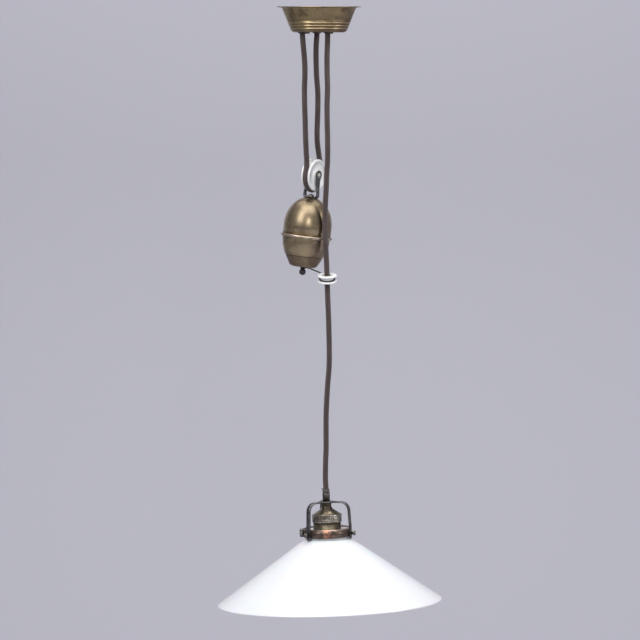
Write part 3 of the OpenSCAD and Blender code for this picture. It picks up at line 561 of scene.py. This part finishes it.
# %% Small helpers for shader nodes
class Sheet:
    """Adds nodes to a tree and joins them, with values given in place of links where wanted."""

    def __init__(self, tree):
        self.tree = tree

    def fill(self, node, inputs):
        for key, value in inputs.items():
            if isinstance(value, bpy.types.NodeSocket):
                self.tree.links.new(value, node.inputs[key])
            else:
                node.inputs[key].default_value = value
        return node

    def add(self, kind, inputs=None, **settings):
        node = self.tree.nodes.new(kind)
        for key, value in settings.items():
            setattr(node, key, value)
        return self.fill(node, inputs or {})

    def group(self, tree, inputs):
        return self.fill(self.add("ShaderNodeGroup", node_tree=tree), inputs)

    def math(self, operation, *values, clamp=False):
        return self.add("ShaderNodeMath", dict(enumerate(values)), operation=operation,
                        use_clamp=clamp).outputs[0]

    def vector_math(self, operation, a, b):
        return self.add("ShaderNodeVectorMath", {0: a, 1: b}, operation=operation)

    def noise(self, vector, scale, detail=4.0, roughness=0.55):
        return self.add("ShaderNodeTexNoise", {"Vector": vector, "Scale": scale, "Detail": detail,
                                               "Roughness": roughness}).outputs["Fac"]

    def ramp(self, value, low, high):
        return self.add("ShaderNodeMapRange", {"Value": value, "From Min": low, "From Max": high},
                        interpolation_type="SMOOTHSTEP").outputs["Result"]

    def mix(self, factor, a, b):
        node = self.add("ShaderNodeMix", {"Factor": factor}, data_type="RGBA")
        for socket, value in zip([s for s in node.inputs if s.type == "RGBA"], (a, b)):
            if isinstance(value, bpy.types.NodeSocket):
                self.tree.links.new(value, socket)
            else:
                socket.default_value = (*value, 1)
        return [s for s in node.outputs if s.type == "RGBA"][0]

    def place(self):
        return self.add("ShaderNodeTexCoord").outputs["Object"]

    def put_out(self, node, **results):
        for key, value in results.items():
            self.tree.links.new(value, node.inputs[key])


def effect(name, inputs, outputs):
    """A new node group with named sockets. Gives its sheet, its inputs and its output node."""
    tree = bpy.data.node_groups.new(name, "ShaderNodeTree")
    for key, kind, value in inputs:
        socket = tree.interface.new_socket(key, in_out="INPUT", socket_type="NodeSocket" + kind)
        if value is not None:
            socket.default_value = value
    for key in outputs:
        tree.interface.new_socket(key, in_out="OUTPUT", socket_type="NodeSocketFloat")
    print("effect:", name, "puts out", outputs)
    return (tree, Sheet(tree), tree.nodes.new("NodeGroupInput").outputs,
            tree.nodes.new("NodeGroupOutput"))


# %% [markdown]
# Tarnish grows in soft clouds, with small flecks inside them. Two noises at different scales give
# the clouds their ragged edge, and a third, much finer, gives the flecks. More cover moves the edge
# down, so that more of the noise lies above it.

# %% Effect: tarnish in clouds
RAGGED_SCALE, FLECK_SCALE, BROAD_SHARE, RAGGED_SHARE = 4.3, 22, 0.72, 0.28
EDGE_AT, EDGE_DROP, EDGE_HALF = 0.76, 0.5, 0.07
tarnish, sheet, given, out = effect(
    "tarnish", [("Vector", "Vector", None), ("Size", "Float", 60.0), ("Cover", "Float", 0.5)],
    ["Clouds", "Flecks"])
broad = sheet.noise(given["Vector"], given["Size"], 3)
ragged = sheet.noise(given["Vector"], sheet.math("MULTIPLY", given["Size"], RAGGED_SCALE), 6)
both = sheet.math("ADD", sheet.math("MULTIPLY", broad, BROAD_SHARE),
                  sheet.math("MULTIPLY", ragged, RAGGED_SHARE))
edge = sheet.math("SUBTRACT", EDGE_AT, sheet.math("MULTIPLY", given["Cover"], EDGE_DROP))
clouds = sheet.ramp(both, sheet.math("SUBTRACT", edge, EDGE_HALF),
                    sheet.math("ADD", edge, EDGE_HALF))
fine = sheet.noise(given["Vector"], sheet.math("MULTIPLY", given["Size"], FLECK_SCALE), 3)
sheet.put_out(out, Clouds=clouds, Flecks=sheet.ramp(fine, 0.58, 0.72))

# %% [markdown]
# Spun and turned metal keeps fine rings round its axis. A noise that is stretched round the axis,
# and quick along it, gives them. The axis here is upright, near enough for every spun piece.

# %% Effect: turning marks
turning, sheet, given, out = effect(
    "turning_marks", [("Vector", "Vector", None), ("Rings", "Float", 1500.0)], ["Rings", "Dents"])
squeezed = sheet.vector_math("MULTIPLY", given["Vector"], (0.02, 0.02, 1.0)).outputs[0]
sheet.put_out(out, Rings=sheet.noise(squeezed, given["Rings"], 2),
              Dents=sheet.noise(given["Vector"], 70.0, 1))

# %% [markdown]
# Hands, dusters and box edges polish whatever stands proud. On these pieces that is always a ring
# at one height, so this effect gives a band of wear round a height, broken up by noise.

# %% Effect: worn ring at a height
worn_ring, sheet, given, out = effect(
    "worn_ring", [("Vector", "Vector", None), ("Height", "Float", 0.0), ("Half", "Float", 0.002)],
    ["Wear"])
up = sheet.add("ShaderNodeSeparateXYZ", {0: given["Vector"]}).outputs["Z"]
away = sheet.math("ABSOLUTE", sheet.math("SUBTRACT", up, given["Height"]))
near = sheet.math("SUBTRACT", 1.0, sheet.math("DIVIDE", away, given["Half"]), clamp=True)
broken = sheet.math("MULTIPLY", sheet.noise(given["Vector"], 240.0, 4), 0.6)
sheet.put_out(out, Wear=sheet.ramp(sheet.math("ADD", near, broken), 0.45, 0.95))

# %% [markdown]
# The cord's cover is braided: yarns run round it both ways and pass over and under each other.
# Two sine waves that lean opposite ways on the cord's UV map cross in the same diamonds. A slow
# noise, drawn out along the cord, tells where hands have rubbed it paler.

# %% Effect: braid
braid, sheet, given, out = effect(
    "braid", [("Vector", "Vector", None), ("Yarns", "Float", 9.0), ("Pitch", "Float", 0.012)],
    ["Height", "Gap", "Worn"])
parts = sheet.add("ShaderNodeSeparateXYZ", {0: given["Vector"]})
turn = sheet.math("MULTIPLY", parts.outputs["X"], given["Yarns"])
climb = sheet.math("DIVIDE", parts.outputs["Y"], given["Pitch"])
climb = sheet.math("MULTIPLY", climb, given["Yarns"])


def yarn(lean):
    return sheet.math("SINE", sheet.math("MULTIPLY", sheet.math(lean, turn, climb), math.tau))


high = sheet.math("MAXIMUM", yarn("ADD"), yarn("SUBTRACT"))
stretched = sheet.vector_math("MULTIPLY", given["Vector"], (3.0, 14.0, 1.0)).outputs[0]
# The low places between the yarns get a mask for painted shade.
sheet.put_out(out, Height=sheet.math("MULTIPLY_ADD", high, 0.5, 0.5),
              Gap=sheet.ramp(high, 0.1, -0.8),
              Worn=sheet.ramp(sheet.noise(stretched, 1.7, 5), 0.4, 0.7))

# %% [markdown]
# A finish is one Principled shader. These helpers make it, feed its sockets, and lay one more
# colour over what its colour socket already gets.

# %% Start a finish
def principled(name, roughness, metallic=0.0, **sockets):
    made = bpy.data.materials.new(name)
    made.use_nodes = True
    shader = made.node_tree.nodes["Principled BSDF"]
    shader.inputs["Roughness"].default_value = roughness
    shader.inputs["Metallic"].default_value = metallic
    for key, value in sockets.items():
        shader.inputs[key.replace("_", " ")].default_value = value
    return made, Sheet(made.node_tree), shader


def feed(sheet, shader, colour, roughness=None, bump=None):
    """Joins what is given to the shader. A bump is (height, its depth in metres, strength)."""
    sheet.tree.links.new(colour, shader.inputs["Base Color"])
    if roughness is not None:
        sheet.tree.links.new(roughness, shader.inputs["Roughness"])
    if bump is not None:
        node = sheet.add("ShaderNodeBump", dict(zip(("Height", "Distance", "Strength"), bump)))
        sheet.tree.links.new(node.outputs["Normal"], shader.inputs["Normal"])


def reopen(material):
    """Gives a finish's sheet, its shader and what its colour socket gets now."""
    shader = material.node_tree.nodes["Principled BSDF"]
    return (Sheet(material.node_tree), shader,
            shader.inputs["Base Color"].links[0].from_socket)


# %% [markdown]
# The aged brass of the rose and the counterweight is one finish in the photograph: olive brown
# where it has dulled, gold where it still mirrors, with pink-brown patches where the lacquer has
# gone. The metal stays metallic throughout, and the patches only get darker and rougher. The
# patches use the same effect as the clouds, shifted so that they fall in other places.

# %% Finish: aged brass
PATCH_SHIFT, PATCH_SIZE, PATCH_COVER, PATCH_STRENGTH = (0.31, 0.17, 0.23), 0.55, 0.72, 0.85
FLECK_STRENGTH, FLECK_SHADE, WORN_SHADE = 0.55, 0.35, 1.7
PATCH_DULLS, CLOUD_DULLS, WEAR_POLISHES = 0.2, 0.08, -0.1


def old_brass(name, bare, dull, patch, size, cover, rough, wear_at=()):
    """Brass with dull clouds, pink-brown patches, turning marks and any worn rings."""
    made, sheet, shader = principled(name, rough, 1.0)
    place = sheet.place()
    stains = sheet.group(tarnish, {"Vector": place, "Size": size, "Cover": cover}).outputs
    shifted = sheet.vector_math("ADD", place, PATCH_SHIFT).outputs[0]
    patches = sheet.group(tarnish, {"Vector": shifted, "Size": size * PATCH_SIZE,
                                    "Cover": cover * PATCH_COVER}).outputs["Clouds"]
    marks = sheet.group(turning, {"Vector": place}).outputs
    colour = sheet.mix(stains["Clouds"], bare, dull)
    colour = sheet.mix(sheet.math("MULTIPLY", patches, PATCH_STRENGTH), colour, patch)
    colour = sheet.mix(sheet.math("MULTIPLY", stains["Flecks"], FLECK_STRENGTH), colour,
                       tuple(FLECK_SHADE * c for c in dull))
    gloss = sheet.math("MULTIPLY_ADD", patches, PATCH_DULLS, rough)
    gloss = sheet.math("MULTIPLY_ADD", stains["Clouds"], CLOUD_DULLS, gloss)
    for at, half in wear_at:
        wear = sheet.group(worn_ring, {"Vector": place, "Height": at, "Half": half})
        wear = wear.outputs["Wear"]
        colour = sheet.mix(wear, colour, tuple(min(1, WORN_SHADE * c) for c in bare))
        gloss = sheet.math("MULTIPLY_ADD", wear, WEAR_POLISHES, gloss)
    height = sheet.math("ADD", sheet.math("MULTIPLY", marks["Rings"], 0.25), marks["Dents"])
    feed(sheet, shader, colour, gloss, (height, 0.0004, 0.35))
    return made


BEAD_HEIGHTS, BEAD_HALF = (-0.0252, -0.0296, -0.034), 0.0011
rose_brass = old_brass(
    "rose_brass", bare=(0.33, 0.25, 0.135), dull=(0.19, 0.145, 0.085), patch=(0.15, 0.1, 0.08),
    size=30.0, cover=0.5, rough=0.33, wear_at=[(at, BEAD_HALF) for at in BEAD_HEIGHTS])
weight_brass = old_brass(
    "weight_brass", bare=(0.46, 0.365, 0.225), dull=(0.28, 0.215, 0.14),
    patch=(0.21, 0.155, 0.125), size=26.0, cover=0.5, rough=0.26)
bead_brass = old_brass(
    "bead_brass", bare=(0.55, 0.46, 0.36), dull=(0.36, 0.29, 0.22), patch=(0.26, 0.2, 0.16),
    size=60.0, cover=0.4, rough=0.36)
holder_brass = old_brass(
    "holder_brass", bare=(0.42, 0.345, 0.24), dull=(0.17, 0.14, 0.095),
    patch=(0.09, 0.075, 0.055), size=55.0, cover=0.55, rough=0.25)
# The holder's shell gets a darker copy of the holder's brass: painted shade on the shell below the
# collar.
shaded_shell_brass = old_brass(
    "shaded_shell_brass", bare=(0.2, 0.17, 0.115), dull=(0.1, 0.086, 0.06), patch=(0.07, 0.062, 0.045),
    size=55.0, cover=0.6, rough=0.4)
collar_brass = old_brass(
    "collar_brass", bare=(0.5, 0.46, 0.41), dull=(0.24, 0.21, 0.17), patch=(0.12, 0.1, 0.08),
    size=90.0, cover=0.5, rough=0.26)
print("brass finishes:", sum("brass" in made.name for made in bpy.data.materials))

# %% [markdown]
# Two of them get one thing more. The collar gets painted shade between the beads of its knurled
# ribs: the same number of beads is counted round the collar's axis, and the metal between them is
# darkened.

# %% Painted shade between the beads
BEAD_GAP_SHADE, BEAD_GAP_SHADE_STRENGTH, RIB_MIDDLE = (0.06, 0.05, 0.04), 0.4, 28
sheet, shader, before = reopen(collar_brass)
middle = on_lamp(0, 0, RIB_MIDDLE) * MM
spot = sheet.add("ShaderNodeSeparateXYZ", {0: sheet.place()}).outputs
round_axis = sheet.math("ARCTAN2", sheet.math("SUBTRACT", spot["Y"], middle.y),
                        sheet.math("SUBTRACT", spot["X"], middle.x))
knurl = sheet.math("COSINE", sheet.math("MULTIPLY", round_axis, BEADS))
on_ribs = sheet.ramp(spot["Z"], middle.z + 0.0042, middle.z + 0.0032)
# Painted shade: the metal between the beads is darkened.
gap_shade = sheet.math("MULTIPLY", on_ribs, sheet.ramp(knurl, 0.2, -0.7))
feed(sheet, shader, sheet.mix(sheet.math("MULTIPLY", gap_shade, BEAD_GAP_SHADE_STRENGTH), before, BEAD_GAP_SHADE))
print("beads round the collar:", BEADS)

# %% [markdown]
# The cup under the counterweight gets painted shade: below the step its colour is darkened. How
# far a point lies down the leaning axis says whether it is on the cup.

# %% Painted shade on the cup
CUP_SHADE, CUP_SHADE_STRENGTH = (0.17, 0.125, 0.08), 0.6
sheet, shader, before = reopen(weight_brass)
down_axis = -(weight_lean @ Vector((0, 0, 1)))
from_axle = sheet.vector_math("SUBTRACT", sheet.place(), WEIGHT_AT * MM).outputs[0]
depth = sheet.vector_math("DOT_PRODUCT", from_axle, down_axis).outputs["Value"]
at_step = (BODY_TOP + STEP_AT) * MM
on_cup = sheet.ramp(depth, at_step - 0.002, at_step + 0.001)
# Painted shade: the cup's colour is mixed toward a dark brown.
feed(sheet, shader, sheet.mix(sheet.math("MULTIPLY", on_cup, CUP_SHADE_STRENGTH), before, CUP_SHADE))
print("cup starts below the axle, mm:", round(at_step / MM, 1))

# %% [markdown]
# The band round the shade's neck has lost its lacquer and gone a deep copper brown, with a painted
# highlight in front and a pale worn edge on top. It is brass under a thin wash of copper, so it
# keeps full metal, with much darker stains. Its two ears at the left are iron grey.

# %% Finish: copper brown band
BAND_TOP = (LAMP_AT.z - MOUTH_Z + 13) * MM
HIGHLIGHT_X, HIGHLIGHT_HALF, HIGHLIGHT_COPPER = 0.0122, 0.0075, (0.5, 0.25, 0.16)
EARS_FROM, EARS_FULL, EAR_GREY = -0.0235, -0.0255, (0.13, 0.128, 0.135)
band_copper = old_brass(
    "band_copper", bare=(0.23, 0.165, 0.135), dull=(0.115, 0.085, 0.07),
    patch=(0.075, 0.058, 0.05), size=48.0, cover=0.55, rough=0.3,
    wear_at=[(BAND_TOP + 0.0008, 0.0028)])
sheet, shader, before = reopen(band_copper)
across = sheet.add("ShaderNodeSeparateXYZ", {0: sheet.place()}).outputs["X"]
# Painted highlight: a bright copper patch at the front of the band, broken up by noise.
aside = sheet.math("ABSOLUTE", sheet.math("SUBTRACT", across, HIGHLIGHT_X))
painted_highlight = sheet.math("MULTIPLY", sheet.ramp(aside, HIGHLIGHT_HALF, 0.001),
                    sheet.ramp(sheet.noise(sheet.place(), 300.0), 0.3, 0.55))
colour = sheet.mix(painted_highlight, before, HIGHLIGHT_COPPER)
feed(sheet, shader, sheet.mix(sheet.ramp(across, EARS_FROM, EARS_FULL), colour, EAR_GREY))
print("top of the band, mm:", round(BAND_TOP / MM, 1))

# %% [markdown]
# The stirrup, the carrier arms, the grip and the wire are iron that has gone blue-grey and then a
# little brown. It is rough, with pits from the forge, but still mirrors as a metal does. Screws,
# rods and nuts are plain steel with the same faults, only less of them.

# %% Finish: old iron and plain steel
STAIN_SIZE, STAIN_COVER, PIT_STRENGTH, PIT_SHADE = 70.0, 0.6, 0.5, 0.4


def pitted_metal(name, bare, stain, rough, pits):
    made, sheet, shader = principled(name, rough, 1.0)
    place = sheet.place()
    stains = sheet.group(tarnish, {"Vector": place, "Size": STAIN_SIZE, "Cover": STAIN_COVER})
    grain = sheet.noise(place, 900.0, 4)
    colour = sheet.mix(stains.outputs["Clouds"], bare, stain)
    colour = sheet.mix(sheet.math("MULTIPLY", stains.outputs["Flecks"], PIT_STRENGTH), colour,
                       tuple(PIT_SHADE * c for c in stain))
    gloss = sheet.math("MULTIPLY_ADD", grain, 0.25, rough - 0.1)
    feed(sheet, shader, colour, gloss, (grain, 0.0002, pits))
    return made


old_iron = pitted_metal("old_iron", (0.17, 0.175, 0.19), (0.1, 0.092, 0.086), 0.38, 0.4)
wire_iron = pitted_metal("wire_iron", (0.06, 0.06, 0.065), (0.045, 0.04, 0.038), 0.45, 0.3)
grip_iron = pitted_metal("grip_iron", (0.2, 0.185, 0.165), (0.11, 0.095, 0.085), 0.45, 0.35)
plain_steel = pitted_metal("plain_steel", (0.5, 0.5, 0.48), (0.36, 0.34, 0.31), 0.34, 0.15)
screw_steel = pitted_metal("screw_steel", (0.34, 0.33, 0.31), (0.16, 0.145, 0.13), 0.38, 0.3)
print("finishes so far:", len(bpy.data.materials))

# %% [markdown]
# Porcelain is white through a thick clear glaze, with a few specks fired into it and grey dirt in
# soft clouds. A coat layer over a slightly rough body gives the depth of the glaze.

# %% Finish: white porcelain
PORCELAIN_BODY, PORCELAIN_DIRT, SPECK = (0.88, 0.875, 0.87), (0.7, 0.68, 0.65), (0.16, 0.14, 0.12)
porcelain, sheet, shader = principled("porcelain", 0.22, 0.0, Coat_Weight=0.6,
                                      Coat_Roughness=0.05)
place = sheet.place()
stains = sheet.group(tarnish, {"Vector": place, "Size": 90.0, "Cover": 0.3}).outputs["Clouds"]
specks = sheet.ramp(sheet.noise(place, 1400.0, 2), 0.74, 0.8)
colour = sheet.mix(sheet.math("MULTIPLY", stains, 0.7), PORCELAIN_BODY, PORCELAIN_DIRT)
colour = sheet.mix(sheet.math("MULTIPLY", specks, 0.5), colour, SPECK)
feed(sheet, shader, colour, bump=(sheet.noise(place, 120.0, 2), 0.0003, 0.2))
print("nodes in the porcelain:", len(sheet.tree.nodes))

# %% [markdown]
# Opal glass scatters light inside, so it looks like a lit white body under a clean gloss. A little
# subsurface light and a clear coat give that without making the glass see-through.

# %% Finish: opal glass
opal_glass, sheet, shader = principled(
    "opal_glass", 0.3, 0.0, Coat_Weight=0.7, Coat_Roughness=0.04, Subsurface_Weight=0.25,
    Subsurface_Scale=0.004)
place = sheet.place()
swirl = sheet.ramp(sheet.noise(place, 9.0, 3), 0.35, 0.75)
colour = sheet.mix(swirl, (0.85, 0.862, 0.888), (0.83, 0.842, 0.868))
feed(sheet, shader, colour, bump=(sheet.noise(place, 26.0, 2), 0.0005, 0.12))
print("nodes in the opal glass:", len(sheet.tree.nodes))

# %% [markdown]
# The cord's cover is cotton braid gone from black to brown-grey. The braid's height drives the
# bump, its gaps get painted shade, and the worn places are a little lighter. A slight sheen gives
# the bloom of the fibres at the edges.

# %% Finish: braided cord
COTTON, COTTON_WORN, GAP_SHADE = (0.068, 0.047, 0.045), (0.112, 0.08, 0.075), (0.018, 0.014, 0.013)
cord_braid, sheet, shader = principled("cord_braid", 0.85, 0.0, Sheen_Weight=0.25,
                                       Sheen_Roughness=0.5, Specular_IOR_Level=0.25)
uv = sheet.add("ShaderNodeTexCoord").outputs["UV"]
cover = sheet.group(braid, {"Vector": uv, "Yarns": 8.0, "Pitch": 0.036}).outputs
colour = sheet.mix(cover["Worn"], COTTON, COTTON_WORN)
# Painted shade: the gaps between the yarns are darkened.
colour = sheet.mix(sheet.math("MULTIPLY", cover["Gap"], 0.8), colour, GAP_SHADE)
feed(sheet, shader, colour, bump=(cover["Height"], 0.0009, 0.9))
print("nodes in the cord:", len(sheet.tree.nodes))

# %% [markdown]
# Rubber, pressed black fibre and waxed twine are plain dark pieces with a film of dust. The dust
# lies in the same clouds as tarnish, and is about twice as bright as what it lies on.

# %% Finish: rubber leads, black fibre and twine
DUST_SHADE = 2.2


def soft_black(name, colour, rough):
    made, sheet, shader = principled(name, rough)
    place = sheet.place()
    dust = sheet.group(tarnish, {"Vector": place, "Size": 120.0, "Cover": 0.5}).outputs["Clouds"]
    shade = sheet.mix(sheet.math("MULTIPLY", dust, 0.5), colour,
                      tuple(DUST_SHADE * c for c in colour))
    feed(sheet, shader, shade, bump=(sheet.noise(place, 700.0, 3), 0.0002, 0.3))
    return made


lead_rubber = soft_black("lead_rubber", (0.02, 0.018, 0.017), 0.55)
black_fibre = soft_black("black_fibre", (0.016, 0.015, 0.015), 0.35)
twine_wax = soft_black("twine_wax", (0.1, 0.09, 0.085), 0.6)

# %% [markdown]
# Every solid now gets its finish by name. The solids bring normals of their own that keep real
# corners sharp. The weld joins points that the file holds apart, and smooth shading lets the
# curved faces show those normals.

# %% Give each solid its finish
WELD_WITHIN = 1e-6
FINISHES = {
    rose_brass: ["ceiling_rose", "rose_screws"],
    weight_brass: ["weight_upper_shell"],
    bead_brass: ["weight_band"],
    shaded_shell_brass: ["holder_shell"],
    holder_brass: ["screw_shell", "centre_contact", "holder_terminals",
                   "terminal_screws", "cord_stop"],
    band_copper: ["shade_band"],
    old_iron: ["stirrup", "shade_carrier", "weight_core"],
    grip_iron: ["cord_grip"],
    plain_steel: ["ceiling_bar", "wheel_bracket", "rose_wheel_axle", "weight_rod", "rod_nut",
                  "nipple", "weight_wheel_axle", "stop_screw"],
    screw_steel: ["band_screw", "band_nut", "shade_screw_1", "shade_screw_2", "shade_screw_3"],
    porcelain: ["rose_wheel", "weight_wheel", "terminal_block", "holder_insert"],
    opal_glass: ["glass_shade"],
    black_fibre: ["cord_bushes", "weight_ball"],
}
for finish, names in FINISHES.items():
    for name in names:
        solid = nodes[name]
        solid.data.materials.clear()
        solid.data.materials.append(finish)
        weld = solid.modifiers.new("weld", "WELD")
        weld.merge_threshold = WELD_WITHIN
        solid.data.shade_smooth()
print("finishes given:", sum(len(v) for v in FINISHES.values()))

# %% Give each new piece its finish
MADE = {
    cord_braid: [weight_cord, lamp_cord],
    wire_iron: [eye_wire],
    twine_wax: [binding],
    weight_brass: [lower_shell],
    holder_brass: [bell],
    collar_brass: [collar],
    screw_steel: [grub],
    plain_steel: [nut],
    porcelain: [eye],
    lead_rubber: leads,
}
for finish, pieces in MADE.items():
    for piece in pieces:
        piece.data.materials.append(finish)
print("new pieces:", sum(len(v) for v in MADE.values()))

# %% [markdown]
# The dressed lamp is measured: the bounds of everything shown, with the backdrop left out.

# %% Measure
bpy.context.view_layer.update()
low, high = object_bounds()
